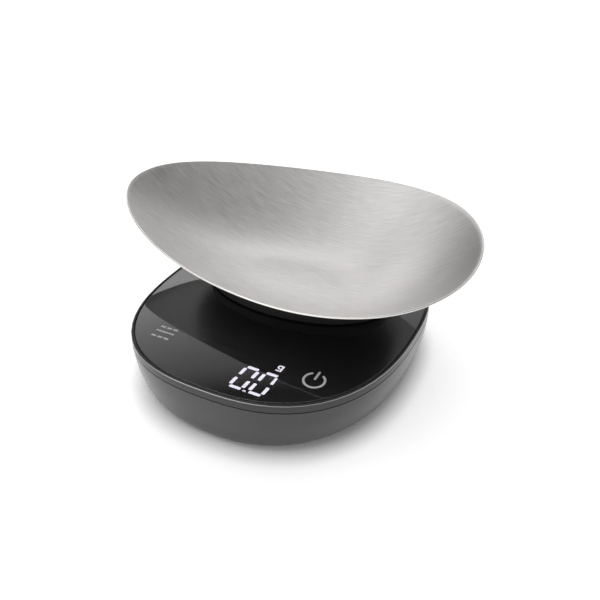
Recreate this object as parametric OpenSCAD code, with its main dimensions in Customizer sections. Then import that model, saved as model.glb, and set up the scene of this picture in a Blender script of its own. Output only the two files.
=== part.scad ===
// Small digital scale with a lift-off steel dish.
// Units are millimetres. +Z is up, +X is the user's right and +Y points away from the user.
// The origin is the middle of the base on the surface that the feet stand on.

/* [Glass top] */
// Width of the glass, left to right
glass_w = 120; // [112:1:130]
// Depth of the glass, front to back
glass_d = 130; // [126:1:140]
// Thickness of the glass
glass_t = 2; // [1.6:0.1:2.6]
// Squareness of the outline: 2 is an ellipse, more is squarer
corner_power = 2.55; // [2.4:0.05:2.9]
// How much wider the outline is at the back than in the middle
back_swell = 0.04; // [0:0.01:0.06]
// Thickness of the adhesive under the glass
adhesive_t = 0.3; // [0.2:0.1:0.5]

/* [Housing] */
// Height of the lower housing, from its underside to the seam
housing_h = 22; // [21:0.5:26]
// Height of the visible trim, from the seam to the glass surface
trim_h = 3.5; // [3.2:0.1:4.5]
// How far the housing stands out past the glass
trim_w = 1.5; // [1.2:0.1:3]
// Gap between glass and trim
groove_w = 0.35; // [0.1:0.05:0.4]
// Height of the dark seam
seam_gap = 0.4; // [0.2:0.1:0.6]
// Wall of the lower housing
wall = 2; // [1.6:0.1:2.4]
// Floor of the lower housing
floor_t = 2; // [1.9:0.1:2.6]
// How far the underside draws in at each side
tuck_side = 9; // [6:0.5:11]
// How far the underside draws in at the front and back
tuck_end = 4; // [2:0.5:6]
// Squareness of the underside's outline
bottom_power = 2.2; // [2.1:0.05:2.6]
// Squareness of the housing's side profile
profile_power = 2.15; // [1.9:0.05:3]
// Thickness of the deck that carries the glass
deck_t = 1.5; // [1.2:0.1:2]

/* [Feet] */
// Radius of a rubber foot
foot_r = 5; // [4:0.25:5.5]
// Height that a foot stands out of the housing
foot_stand = 1; // [0.6:0.1:2]
// Depth that a foot is let into the housing
foot_set = 1; // [0.6:0.1:1.2]
// Distance of the front feet from the middle, sideways
front_foot_x = 39; // [37:0.5:41]
// Distance of the front feet from the middle, forwards
front_foot_y = 28; // [26:0.5:30]
// Distance of the back feet from the middle, backwards
back_foot_y = 36; // [33:0.5:38]

/* [Platform] */
// Distance of the platform's middle behind the middle of the base
platform_y = 12; // [11:0.25:13]
// Width of the oval platform cap
cap_w = 88; // [70:1:92]
// Depth of the oval platform cap
cap_d = 50; // [40:1:56]
// Height of the cap's seat above the glass
cap_rise = 6; // [4:0.5:9]
// Gap between the cap's skirt and the glass
cap_gap = 0.8; // [0.7:0.1:1.2]
// Wall of the cap
cap_wall = 1.8; // [1.2:0.1:2.4]
// Outer radius of the cap's stem
stem_r = 10; // [9:0.1:10.4]
// Gap round the stem where it passes the glass
stem_gap = 2; // [1:0.25:4]
// Radius of the carrier plate on the load cell
carrier_r = 24; // [23:0.25:24.5]
// Thickness of the carrier plate
carrier_t = 1.8; // [1.4:0.1:2.2]
// Full travel of the platform under the rated load
travel = 0.5; // [0.3:0.05:0.6]

/* [Weighing dish] */
// Length of the dish
dish_l = 176; // [150:1:190]
// Width of the dish
dish_w = 95; // [86:1:104]
// Thickness of the steel sheet
dish_t = 0.8; // [0.6:0.1:1.2]
// Height of the middle of the rim above the seat
dish_depth = 21.5; // [18:0.5:26]
// How much the back of the rim rises, and the front drops
dish_tilt = 10.3; // [6:0.1:12]
// How much the ends of the rim rise
dish_rise = 9.3; // [4:0.1:14]
// Turn of the dish on its platform, in degrees
dish_turn = -3.5; // [-8:0.5:8]
// Length of the dish's flat foot
dish_foot_l = 42; // [36:1:60]
// Width of the dish's flat foot
dish_foot_w = 22; // [18:1:34]

/* [Load cell] */
// Length of the bending bar
cell_l = 45; // [43:0.5:46]
// Width of the bending bar
cell_w = 9; // [8:0.25:10]
// Height of the bending bar
cell_h = 6; // [5:0.25:7]
// Thickness of the spacers under and over the bar
spacer_t = 1.5; // [1.2:0.1:2]
// Radius of the bar's screws
cell_screw_r = 1.5; // [1.2:0.1:1.6]

/* [Display] */
// Width of the display module
display_w = 42; // [41:0.5:45]
// Depth of the display module
display_d = 21.8; // [21.4:0.1:22.6]
// Height of the display module
display_h = 7.3; // [6:0.1:8]
// Distance of the display's middle from the middle of the base, to the right
display_x = 1.8; // [-2:0.1:3]
// Height of a digit
digit_h = 13.8; // [10:0.2:14.2]
// Width of a digit
digit_w = 6.9; // [5:0.1:7.2]
// Width of a segment
segment_w = 1.45; // [0.9:0.05:1.6]

/* [Circuit board] */
// Thickness of the circuit board
board_t = 1.6; // [1:0.1:2]
// Radius of a touch spring
touch_r = 4; // [3:0.25:4.5]
// Distance of the touch keys from the middle, sideways
key_x = 35.5; // [33:0.5:36]
// Distance of the touch keys from the front edge of the glass
key_in = 22; // [20.5:0.5:23]
// Radius of the ring printed on the right-hand key
mark_r = 4.1; // [3.5:0.1:5]
// Width of the printed lines
mark_w = 0.9; // [0.6:0.1:1.4]

/* [Batteries] */
// Diameter of a battery
battery_d = 10.5; // [10:0.1:11]
// Length of a battery with its raised contact
battery_l = 44.5; // [42:0.5:45]
// Wall of the battery bay
bay_wall = 1.5; // [1.2:0.1:1.8]
// Thickness of the battery door
door_t = 1.8; // [1.4:0.1:2]

/* [Hidden] */

$fn = 48;
steps = 72;
profile_steps = 12;

// Heights, from the feet up
under_z = foot_stand;
floor_z = under_z + floor_t;
seam_z = under_z + housing_h;
top_z = seam_z + trim_h;
glass_z = top_z - glass_t;
deck_top = glass_z - adhesive_t;
deck_z = deck_top - deck_t;

// Outline of the glass, and of the housing at the seam
glass_a = glass_w / 2;
glass_b = glass_d / 2;
housing_a = glass_a + trim_w;
housing_b = glass_b + trim_w;

// Fits between pieces
fit = 0.15;
free = 0.05;
slack = 0.4;
touch = 0.1;

// Tongue of the upper housing, inside the lower housing's wall
trim_lean = 0.1;
trim_r = min(0.5, trim_w - groove_w - trim_lean - 0.1);
tongue_t = 1.3;
tongue_h = 2.5;
lead_in = 0.3;

// Screws: the head's radius and height go with the shank's radius
head_k = 1.85;
head_h = 1.7;
tap_k = 0.8;
housing_screw_r = 1.25;
board_screw_r = 0.9;
drive_r = 0.8;
drive_h = 0.9;

// Platform stack, from the deck down
head_clear = 0.7;
carrier_top = deck_z - head_clear - head_h;
carrier_z = carrier_top - carrier_t;
cell_top = carrier_z - spacer_t;
cell_z = cell_top - cell_h;
fixed_top = cell_z - spacer_t;
cap_top = top_z + cap_rise;
cap_z = top_z + cap_gap;
stem_wall = 2;
spigot_h = 4;
hole_r = stem_r + stem_gap;

// Load cell: its screws lie just outside the stem, a head's width apart, and alike at the other end
cell_head_r = cell_screw_r * head_k;
near_hole = stem_r + cell_head_r + 0.4;
far_hole = near_hole + 2 * cell_head_r + 0.75;
spacer_in = near_hole - 2.5;
cell_pad = 1.5;
free_x = [near_hole, far_hole];
fixed_x = [-near_hole, -far_hole];
stop_x = (near_hole + far_hole) / 2;
window_r = 2;
window_x = 4.5;
window_slot = 1.4;
gauge_l = 14;
gauge_t = 0.6;
stop_r = 1.5;
stop_boss_r = 3.4;
boss_side = 0.5;

// Battery bay, behind the load cell
rows = 3;
row_gap = 0.5;
row_pitch = battery_d + row_gap;
spring_l = 3.6;
contact_t = 0.4;
bay_x = (battery_l + spring_l) / 2 + contact_t;
bay_space = 1.4;
bay_front = platform_y + cell_w / 2 + boss_side + bay_space + bay_wall;
bay_back = bay_front + rows * row_pitch + 0.2;
door_rib_h = 0.8;
battery_z = under_z + door_t + door_rib_h + touch + battery_d / 2;
bay_top = battery_z + battery_d / 2 + slack;
bay_roof = bay_top + bay_wall;
row_y = [for (i = [0:rows - 1]) bay_front + 0.1 + row_pitch * (i + 0.5)];
turned = [0, 180, 0];
nub_r = 1.9;
nub_h = 0.8;
contact_w = 8;
contact_h = 8.4;
tail_w = 2;
tail_h = 1.2;
tab_w = 7;
tab_l = 1.2;
tab_t = 0.9;
tab_x = 12;
lip_t = 0.8;
door_gap = 0.25;
latch_w = 12;

// Corner bosses: each takes a housing screw from below, with a foot over its head
boss_r = 3.6;
head_seat = 2.4;
boss_joint = deck_z - 4.7;
head_z = under_z + foot_set + head_seat;
cell_head_z = under_z + floor_t + 1.2;
back_foot_x = bay_x + bay_wall + boss_r + 5.2;
corners = [
    [-front_foot_x, -front_foot_y], [front_foot_x, -front_foot_y],
    [-back_foot_x, back_foot_y], [back_foot_x, back_foot_y]
];

// Display and circuit board, hung from the glass down
gasket_t = 0.6;
gasket_w = 1;
board_top = glass_z - gasket_t - display_h;
board_z = board_top - board_t;
display_front = glass_b - 5.4;
digits = 5;
digit_pitch = display_w / digits;
digit_y = -display_front + 1 + digit_h / 2;
digit_x = [for (i = [0:digits - 1]) display_x + (i - (digits - 1) / 2) * digit_pitch];
digit_lean = 3.5;
segment_t = 0.6;
segment_end = 0.3;
gap_across = 0.6;
gap_up = 2;
point_r = 0.75;
unit_x = 1.3;
unit_in = 2.5;
unit_r = 1.25;
unit_line = 0.65;
unit_tail = 2.4;
print_t = 0.1;
print_gap = 60;
label_x = 2;
label_w = 9;
rule_w = 0.7;
dash_l = 2.3;
dash_pitch = 3.1;
dash_rows = [3, -3.6];
key_y = glass_b - key_in;
board_back = 13.5;
board_in = 3.6;
board_boss_r = 2.6;
board_screw_l = 6;
mount_back = [20, board_back + 5.5];
mount_front = [display_w / 2 + 8, glass_b - 12];
board_mounts = [for (m = [mount_back, mount_front], s = [-1, 1]) [s * m[0], -m[1]]];
socket_h = 3.4;
socket_d = 5;
socket_y = -board_back - socket_d / 2 - 0.5;
cell_socket = [-10, 7];
battery_socket = [-27, 5];
lead_r = 0.5;
lead_pitch = 1.2;

// Parts on the board, in a row halfway between the display and the sockets
parts_y = (-display_front + display_d + socket_y - socket_d / 2) / 2;
controller = [7, 7, 1.1];
controller_x = -10;
converter = [8, 4, 1.6];
converter_x = 10;
pins = 6;
pin_l = 1;
pin_w = 0.4;
pin_t = 0.3;
small_part = [2, 1.2, 0.8];
small_rows = [-3, 1.5];
small_x = [-19, -2.5, 3.5, 18];
can_r = 2;
can_h = 4.5;
can_at = [[23, 1], [0.5, 5]];
crystal = [4.5, 2, 3];
crystal_x = -23;

// Springs
cell_turns = 3;
cell_wire_r = 0.35;
cell_spring_r = [3.3, 2];
touch_turns = 5;
touch_wire_r = 0.3;

// Dish outline: the rim's middle, seen from the middle of the foot, and how it swells
rim_x = -8;
rim_y = 7.5;
rim_power = 2.1;
rim_swell_x = -0.12;
rim_swell_y = 0.25;
bowl_power = 2;
bowl_steps = 9;
seat_gap = 0.05;

function unit(v) = v / norm(v);
function spow(v, p) = sign(v) * pow(abs(v), p);

// A point of a rounded-square outline with half sizes a and b, in direction p
function plan_point(p, a, b, n) =
    let (r = pow(pow(abs(cos(p)) / a, n) + pow(abs(sin(p)) / b, n), -1 / n))
    [r * cos(p) * (1 + back_swell * r * sin(p) / b), r * sin(p)];
function plan(a, b, n) = [for (i = [0:steps - 1]) plan_point(360 * i / steps, a, b, n)];
function glass_plan(d) = plan(glass_a + d, glass_b + d, corner_power);
function lift(points, z) = [for (p = points) [p[0], p[1], z]];

// Share of the tuck at depth t below the seam, where t runs from 0 to 1
function tuck(t) = 1 - pow(max(0, 1 - pow(t, profile_power)), 1 / profile_power);
function housing_loop(z, inset, up) =
    let (k = tuck(min(1, max(0, (seam_z - z + up) / housing_h))))
    lift(plan(housing_a - inset - tuck_side * k, housing_b - inset - tuck_end * k,
        corner_power + (bottom_power - corner_power) * k), z);

// Faces of a solid made of loops with the same number of points
function band(j, k, n) = [for (i = [0:n - 1]) let (m = (i + 1) % n) each [
    [j * n + i, k * n + i, k * n + m], [j * n + i, k * n + m, j * n + m]
]];

module capped(loops) {
    n = len(loops[0]);
    m = len(loops);
    polyhedron([for (l = loops) each l], concat(
        [[for (i = [0:n - 1]) i]],
        [for (j = [0:m - 2]) each band(j, j + 1, n)],
        [[for (i = [n - 1:-1:0]) (m - 1) * n + i]]));
}

// A profile of [outward, up] points swept round the glass outline
module swept(profile) {
    m = len(profile);
    polyhedron([for (q = profile) each lift(glass_plan(q[0]), q[1])],
        [for (j = [0:m - 1]) each band(j, (j + 1) % m, steps)]);
}

// A round wire of radius r along points, turned against the direction ref
module wire(points, r, ref, sides) {
    last = len(points) - 1;
    function along(i) = unit(points[min(i + 1, last)] - points[max(i - 1, 0)]);
    capped([for (i = [0:last])
        let (t = along(i), u = unit(cross(ref, t)), v = cross(t, u))
        [for (s = [0:sides - 1])
            points[i] + r * (cos(360 * s / sides) * u + sin(360 * s / sides) * v)]]);
}

module slab(points, z0, z1) {
    translate([0, 0, z0]) linear_extrude(z1 - z0) polygon(points);
}

module rod(x, y, z0, z1, r) {
    translate([x, y, z0]) cylinder(h = z1 - z0, r = r);
}

module box(x0, x1, y0, y1, z0, z1) {
    translate([x0, y0, z0]) cube([x1 - x0, y1 - y0, z1 - z0]);
}

// A pan-head screw whose head sits on z and points along dir: 1 is head up, -1 is head down
module screw(x, y, z, r, length, dir) {
    translate([x, y, z]) mirror([0, 0, dir > 0 ? 0 : 1]) difference() {
        union() {
            cylinder(h = head_h, r = r * head_k);
            translate([0, 0, -length]) cylinder(h = length + 0.1, r = r * tap_k);
        }
        translate([0, 0, head_h - drive_h]) cylinder(h = drive_h + 1, r = drive_r, $fn = 6);
    }
}

module lower_housing() color("#474546") {
    rim_z = seam_z - seam_gap / 2;
    levels = [for (j = [profile_steps:-1:1]) seam_z - housing_h * sin(90 * j / profile_steps)];
    difference() {
        union() {
            capped(concat(
                [for (z = levels) housing_loop(z, 0, 0)],
                [housing_loop(rim_z, 0, 0), housing_loop(rim_z, wall, floor_t)],
                [for (j = [profile_steps - 1:-1:0]) housing_loop(levels[j] + floor_t, wall, floor_t)]));
            for (c = corners) {
                rod(c[0], c[1], floor_z - 0.1, boss_joint, boss_r);
                rod(c[0], c[1], floor_z - 0.1, head_z + 2, boss_r + 1.2);
            }
            box(-cell_l / 2 - cell_pad, -spacer_in + boss_side, platform_y - cell_w / 2 - boss_side,
                platform_y + cell_w / 2 + boss_side, floor_z - 0.1, fixed_top);
            rod(stop_x, platform_y, floor_z - 0.1, cell_z - travel - 1.5, stop_boss_r);
            for (m = board_mounts) rod(m[0], m[1], floor_z - 0.1, board_z, board_boss_r);
            box(-bay_x - bay_wall, bay_x + bay_wall, bay_front - bay_wall, bay_back + bay_wall,
                floor_z - 0.1, bay_roof);
        }
        for (c = corners) {
            rod(c[0], c[1], under_z - 1, under_z + foot_set, foot_r + fit);
            rod(c[0], c[1], under_z, head_z, housing_screw_r * head_k + fit);
            rod(c[0], c[1], under_z, boss_joint + 1, housing_screw_r + fit);
        }
        for (x = fixed_x) {
            rod(x, platform_y, under_z - 1, cell_head_z, cell_head_r + fit);
            rod(x, platform_y, under_z, fixed_top + 1, cell_screw_r + fit);
        }
        rod(stop_x, platform_y, floor_z + 0.2, cell_z, stop_r + free);
        for (m = board_mounts)
            rod(m[0], m[1], board_top - board_screw_l - 1, board_z + 1, board_screw_r * tap_k + free);
        box(-bay_x, bay_x, bay_front, bay_back, under_z - 1, bay_top);
        // Pockets in the bay's front wall, over a thin lip, for the door's tabs
        for (s = [-1, 1]) box(s * tab_x - tab_w / 2 - 0.3, s * tab_x + tab_w / 2 + 0.3,
            bay_front - tab_l - 0.2, bay_front + 1, under_z + lip_t, under_z + lip_t + tab_t + 2);
        // Slots in the bay's roof for the tails of the two end contacts
        for (s = [-1, 1]) box(min(s * (bay_x - 1.2), s * bay_x), max(s * (bay_x - 1.2), s * bay_x),
            row_y[s < 0 ? 0 : rows - 1] - tail_w / 2 - 0.2, row_y[s < 0 ? 0 : rows - 1] + tail_w / 2 + 0.2,
            bay_top - 1, bay_roof + 1);
        // Finger notch behind the door
        translate([0, bay_back, under_z - 1]) cylinder(h = 1 + door_t, r = latch_w / 2 - 1);
    }
}

module upper_housing() color("#4a4849") {
    difference() {
        union() {
            swept([
                [trim_w, seam_z + seam_gap / 2],
                for (a = [0:18:90])
                    [trim_w - trim_lean - trim_r * (1 - cos(a)), top_z - trim_r * (1 - sin(a))],
                [groove_w, top_z], [groove_w, deck_top], [trim_w - wall - fit - tongue_t, deck_top],
                [trim_w - wall - fit - tongue_t, seam_z - tongue_h],
                [trim_w - wall - fit - lead_in, seam_z - tongue_h],
                [trim_w - wall - fit, seam_z + seam_gap / 2]
            ]);
            slab(glass_plan(trim_w - wall - fit - tongue_t + 0.5), deck_z, deck_top);
            for (c = corners) rod(c[0], c[1], boss_joint, deck_z + 0.1, boss_r);
        }
        rod(0, platform_y, deck_z - 1, deck_top + 1, hole_r);
        for (s = [-1, 1]) rod(s * key_x, -key_y, deck_z - 1, deck_top + 1, touch_r + 1);
        display_box(slack, deck_z - 1, deck_top + 1);
        for (c = corners) rod(c[0], c[1], boss_joint - 1, deck_z - 0.2, housing_screw_r * tap_k + free);
    }
}

module glass_top() color("#151315") difference() {
    slab(glass_plan(0), glass_z, top_z);
    rod(0, platform_y, glass_z - 1, top_z + 1, hole_r);
}

// Printed on the glass over the touch keys: a ring open towards a bar, and dashes over and under a rule
module printed_marks() color("#c9c8c8") {
    translate([key_x, -key_y, top_z]) {
        difference() {
            cylinder(h = print_t, r = mark_r + mark_w / 2);
            translate([0, 0, -1]) cylinder(h = print_t + 2, r = mark_r - mark_w / 2);
            translate([0, 0, -1]) linear_extrude(print_t + 2) polygon([
                [0, 0], 2 * mark_r * [cos(90 - print_gap / 2), sin(90 - print_gap / 2)],
                2 * mark_r * [cos(90 + print_gap / 2), sin(90 + print_gap / 2)]
            ]);
        }
        box(-mark_w / 2, mark_w / 2, 0.4, mark_r + 1.2, 0, print_t);
    }
    translate([-key_x + label_x, -key_y, top_z]) {
        box(-label_w / 2, label_w / 2, -rule_w / 2, rule_w / 2, 0, print_t);
        for (i = [-1:1], y = dash_rows) translate([i * dash_pitch, y, 0])
            box(-dash_l / 2, dash_l / 2, -mark_w / 2, mark_w / 2, 0, print_t);
    }
}

module glass_adhesive() color("#2b2a2b") difference() {
    slab(glass_plan(-0.5), deck_top, glass_z);
    slab(glass_plan(-1.9), deck_top - 1, glass_z + 1);
}

module rubber_feet() color("#2a2a2b") for (c = corners) translate([c[0], c[1], 0]) {
    cylinder(h = 0.5, r1 = foot_r - 0.5, r2 = foot_r);
    translate([0, 0, 0.5]) cylinder(h = foot_stand + foot_set - 0.5, r = foot_r);
}

module housing_screws() color("#8b8d90") for (c = corners)
    screw(c[0], c[1], head_z, housing_screw_r, deck_z - 1 - head_z, -1);

module battery_door() color("#414041") {
    x = bay_x - door_gap;
    y0 = bay_front + door_gap;
    y1 = bay_back - door_gap;
    difference() {
        union() {
            box(-x, x, y0, y1, under_z, under_z + door_t);
            for (s = [-1, 1]) box(s * tab_x - tab_w / 2, s * tab_x + tab_w / 2, bay_front - tab_l, y0 + 1,
                under_z + lip_t + 0.15, under_z + lip_t + tab_t);
            for (y = row_y, s = [-1, 1]) box(s * bay_x / 2 - 3, s * bay_x / 2 + 3, y - 0.6, y + 0.6,
                under_z + door_t - 0.1, under_z + door_t + door_rib_h);
        }
        // Slits that free the latch tongue, and the grip grooves on it
        for (s = [-1, 1]) box(s * latch_w / 2 - 0.4, s * latch_w / 2 + 0.4, y1 - 8, y1 + 1,
            under_z - 1, under_z + door_t + 1);
        for (i = [0:3]) box(-latch_w / 2 + 2, latch_w / 2 - 2, y1 - 2.4 - 1.4 * i, y1 - 1.8 - 1.4 * i,
            under_z - 1, under_z + 0.4);
    }
}

// Each battery points away from its spring; the rows alternate
module in_row(i) translate([0, row_y[i], battery_z]) rotate([0, 0, turned[i]]) children();

module batteries() color("#8e9296") for (i = [0:rows - 1]) in_row(i)
    translate([-bay_x + contact_t + spring_l, 0, 0]) rotate([0, 90, 0]) {
        cylinder(h = battery_l - nub_h, r = battery_d / 2);
        cylinder(h = battery_l, r = nub_r);
    }

module battery_springs() color("#c9ccd0") {
    rings = 15 * cell_turns;
    run = spring_l - 2 * cell_wire_r - 2 * touch;
    for (i = [0:rows - 1]) in_row(i) translate([-bay_x + contact_t + cell_wire_r + touch, 0, 0])
        wire([for (k = [0:rings])
            let (t = k / rings, a = 360 * cell_turns * t)
            let (r = cell_spring_r[0] * (1 - t) + cell_spring_r[1] * t)
            [run * t, r * cos(a), r * sin(a)]], cell_wire_r, [1, 0, 0], 6);
}

module contact_plate(side, y0, y1) {
    x0 = side > 0 ? bay_x - contact_t : -bay_x;
    box(x0, x0 + contact_t, y0 - contact_w / 2, y1 + contact_w / 2,
        battery_z - contact_h / 2, battery_z + contact_h / 2);
}

module battery_contacts() color("#c2c5c8") {
    contact_plate(-1, row_y[0], row_y[0]);
    contact_plate(-1, row_y[1], row_y[2]);
    contact_plate(1, row_y[0], row_y[1]);
    contact_plate(1, row_y[2], row_y[2]);
    for (s = [-1, 1]) {
        x0 = s > 0 ? bay_x - contact_t : -bay_x;
        y = row_y[s < 0 ? 0 : rows - 1];
        box(x0, x0 + contact_t, y - tail_w / 2, y + tail_w / 2, battery_z, bay_roof + tail_h);
    }
}

module load_cell() color("#c4c6c8") difference() {
    box(-cell_l / 2, cell_l / 2, platform_y - cell_w / 2, platform_y + cell_w / 2, cell_z, cell_top);
    for (x = concat(free_x, fixed_x))
        rod(x, platform_y, cell_z - 1, cell_top + 1, cell_screw_r * tap_k + free);
    translate([0, platform_y, cell_z + cell_h / 2]) {
        for (s = [-1, 1]) translate([s * window_x, cell_w / 2 + 1, 0]) rotate([90, 0, 0])
            cylinder(h = cell_w + 2, r = window_r);
        cube([2 * window_x, cell_w + 2, window_slot], center = true);
    }
}

module gauge_sealant() color("#e6e4dc") for (z = [cell_z - gauge_t, cell_top])
    box(-gauge_l / 2, gauge_l / 2, platform_y - cell_w / 2 + 1, platform_y + cell_w / 2 - 1, z, z + gauge_t);

module spacer(x0, x1, z, holes) difference() {
    box(x0, x1, platform_y - cell_w / 2, platform_y + cell_w / 2, z, z + spacer_t);
    for (x = holes) rod(x, platform_y, z - 1, z + spacer_t + 1, cell_screw_r + fit);
}

module fixed_spacer() color("#b2b4b6")
    spacer(-cell_l / 2, -spacer_in, fixed_top, fixed_x);

module free_spacer() color("#b2b4b6")
    spacer(spacer_in, cell_l / 2, cell_top, free_x);

module fixed_screws() color("#8b8d90") for (x = fixed_x)
    screw(x, platform_y, cell_head_z, cell_screw_r, cell_top - 1 - cell_head_z, -1);

module free_screws() color("#8b8d90") for (x = free_x)
    screw(x, platform_y, carrier_top, cell_screw_r, carrier_top - cell_z - 1, 1);

module overload_stop() color("#77797c") difference() {
    rod(stop_x, platform_y, floor_z + 0.5, cell_z - travel, stop_r);
    translate([stop_x, platform_y, floor_z]) cylinder(h = 2, r = drive_r, $fn = 6);
}

module platform_carrier() color("#a8aaac") difference() {
    union() {
        rod(0, platform_y, carrier_z, carrier_top, carrier_r);
        rod(0, platform_y, carrier_top - 0.1, carrier_top + spigot_h, stem_r - stem_wall - touch);
    }
    rod(0, platform_y, carrier_z - 1, carrier_top + spigot_h + 1, stem_r - 2 * stem_wall);
    for (x = free_x) rod(x, platform_y, carrier_z - 1, carrier_top + 1, cell_screw_r + fit);
}

function cap_oval(inset) = [for (i = [0:steps - 1])
    [(cap_w / 2 - inset) * cos(360 * i / steps), platform_y + (cap_d / 2 - inset) * sin(360 * i / steps)]];

module platform_cap() color("#1d1b1c") {
    roof = cap_top - cap_wall;
    capped([
        lift(cap_oval(cap_wall), roof), lift(cap_oval(cap_wall), cap_z), lift(cap_oval(0), cap_z),
        lift(cap_oval(0), cap_top - 1), lift(cap_oval(0.3), cap_top - 0.3), lift(cap_oval(1), cap_top)
    ]);
    difference() {
        union() {
            rod(0, platform_y, carrier_top, roof + 0.1, stem_r);
            box(-cap_w / 2 + cap_wall + 1, cap_w / 2 - cap_wall - 1, platform_y - 0.75, platform_y + 0.75,
                cap_z + 0.5, roof + 0.1);
            box(-0.75, 0.75, platform_y - cap_d / 2 + cap_wall + 1, platform_y + cap_d / 2 - cap_wall - 1,
                cap_z + 0.5, roof + 0.1);
        }
        rod(0, platform_y, carrier_top - 1, roof - 1, stem_r - stem_wall);
    }
}

module main_board() color("#1f5a3a") difference() {
    intersection() {
        slab(glass_plan(-board_in), board_z, board_top);
        box(-glass_w, glass_w, -glass_d, -board_back, board_z - 1, board_top + 1);
    }
    for (c = corners) rod(c[0], c[1], board_z - 1, board_top + 1, boss_r + 0.8);
    for (m = board_mounts) rod(m[0], m[1], board_z - 1, board_top + 1, board_screw_r + fit);
}

module board_screws() color("#8b8d90") for (m = board_mounts)
    screw(m[0], m[1], board_top, board_screw_r, board_screw_l, 1);

// A chip on pins that stand out along two sides; turn is 0 for the sides along X and 90 for those along Y
module chip(x, size, turn) translate([x, parts_y, board_top]) {
    across = turn == 0 ? size[0] : size[1];
    along = turn == 0 ? size[1] : size[0];
    box(-size[0] / 2, size[0] / 2, -size[1] / 2, size[1] / 2, touch, size[2]);
    row = along - 3 * pin_w;
    rotate([0, 0, turn]) for (i = [0:pins - 1]) translate([0, row * (i / (pins - 1) - 0.5), 0])
        box(-across / 2 - pin_l, across / 2 + pin_l, -pin_w / 2, pin_w / 2, 0, pin_t);
}

module microcontroller() color("#26262a") chip(controller_x, controller, 0);

module converter_chip() color("#26262a") chip(converter_x, converter, 90);

module standing(size) translate([-size[0] / 2, -size[1] / 2, 0]) cube(size);

// Chip resistors and capacitors, two round capacitors and a crystal
module board_parts() color("#b79a62") translate([0, parts_y, board_top]) {
    for (x = small_x, y = small_rows) translate([x, y, 0])
        standing(small_part);
    for (p = can_at) rod(p[0], p[1], 0, can_h, can_r);
    translate([crystal_x, 0, 0]) standing(crystal);
}

module wire_sockets() color("#dedbd0") for (s = [cell_socket, battery_socket]) difference() {
    box(s[0] - s[1] / 2, s[0] + s[1] / 2, socket_y - socket_d / 2, socket_y + socket_d / 2,
        board_top, board_top + socket_h);
    box(s[0] - s[1] / 2 + 0.6, s[0] + s[1] / 2 - 0.6, socket_y + socket_d / 2 - 2.2, socket_y + socket_d,
        board_top + 0.6, board_top + socket_h - 0.6);
}

// Leads run from side to side of a route; the route is for the first lead
module leads(count, route) for (k = [0:count - 1])
    wire([for (p = route) [p[0] + k * lead_pitch, p[1], p[2]]], lead_r, [1, 0, 0], 8);

module load_cell_leads() color("#c8473a") {
    x = cell_socket[0] - 1.5 * lead_pitch;
    side = platform_y - cell_w / 2 - lead_r - touch;
    edge = platform_y - carrier_r;
    leads(4, [[x, side, cell_z + 3], [x, side - 1.5, cell_z + 2.5], [x, side - 8, cell_z + 2.5],
        [x, side - 12, cell_z + 3.5], [x, edge + 5, carrier_z - travel - 1.8],
        [x, edge + 2, carrier_z - travel - 1.3], [x, edge - 0.6, board_top + 1.3],
        [x, -board_back - 0.1, board_top + socket_h / 2],
        [x, socket_y + socket_d / 2 - 2, board_top + socket_h / 2]]);
}

module battery_leads() color("#3a3a3c") {
    z = board_top + socket_h / 2;
    y_end = socket_y + socket_d / 2 - 2;
    near = -bay_x - bay_wall - 1.2;
    far = near - lead_pitch - 0.4;
    x_end = battery_socket[0];
    roof_z = bay_roof + lead_r + touch;
    // From the left end contact, down the outside of the bay
    wire([[-bay_x - 0.6, row_y[0], roof_z], [-bay_x - 1.2, row_y[0] - 0.5, roof_z],
        [near + 0.3, row_y[0] - 2.5, roof_z - 0.2], [near, row_y[0] - 7, bay_roof - 1.5],
        [near, 8, bay_roof - 1.5], [near, -2, board_top - 1], [x_end + 0.7, -8, board_top + 0.9],
        [x_end + 0.7, -12, z], [x_end + 0.7, y_end, z]], lead_r, [0, 0, 1], 8);
    // From the right end contact, across the bay's roof and down beside the other
    wire([[bay_x - contact_t - 0.15, row_y[2], roof_z], [bay_x - 2, row_y[2] + 0.3, roof_z],
        [bay_x - 5, row_y[2] + 1, roof_z], [-bay_x + 5, row_y[2] + 1, roof_z],
        [-bay_x + 1, row_y[2], roof_z], [far + 1, row_y[2] - 3, roof_z - 0.2],
        [far, row_y[2] - 8, bay_roof - 1.5], [far, 8, bay_roof - 1.5],
        [far, -2, board_top - 1], [x_end - 0.7, -8, board_top + 0.9],
        [x_end - 0.7, -12, z], [x_end - 0.7, y_end, z]], lead_r, [0, 0, 1], 8);
}

module touch_springs() color("#c9ccd0") {
    rings = 16 * touch_turns;
    run = glass_z - board_top - 2 * touch_wire_r - 2 * touch;
    for (s = [-1, 1]) translate([s * key_x, -key_y, board_top + touch_wire_r + touch])
        wire([for (k = [0:rings]) let (t = k / rings, a = 360 * touch_turns * t)
            [touch_r * cos(a), touch_r * sin(a), run * t]], touch_wire_r, [0, 0, 1], 6);
}

// One segment: a bar with blunt ends, lying along X about the origin
module segment(length) {
    l = length / 2;
    h = segment_w / 2;
    e = segment_end;
    translate([0, 0, -segment_t]) linear_extrude(segment_t) polygon([
        [-l, e - h], [-l, h - e], [-l + e, h], [l - e, h], [l, h - e], [l, e - h], [l - e, -h], [-l + e, -h]
    ]);
}

// Digits lean to the right
module leaning()
    multmatrix([[1, tan(digit_lean), 0, 0], [0, 1, 0, 0], [0, 0, 1, 0], [0, 0, 0, 1]]) children();

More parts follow.
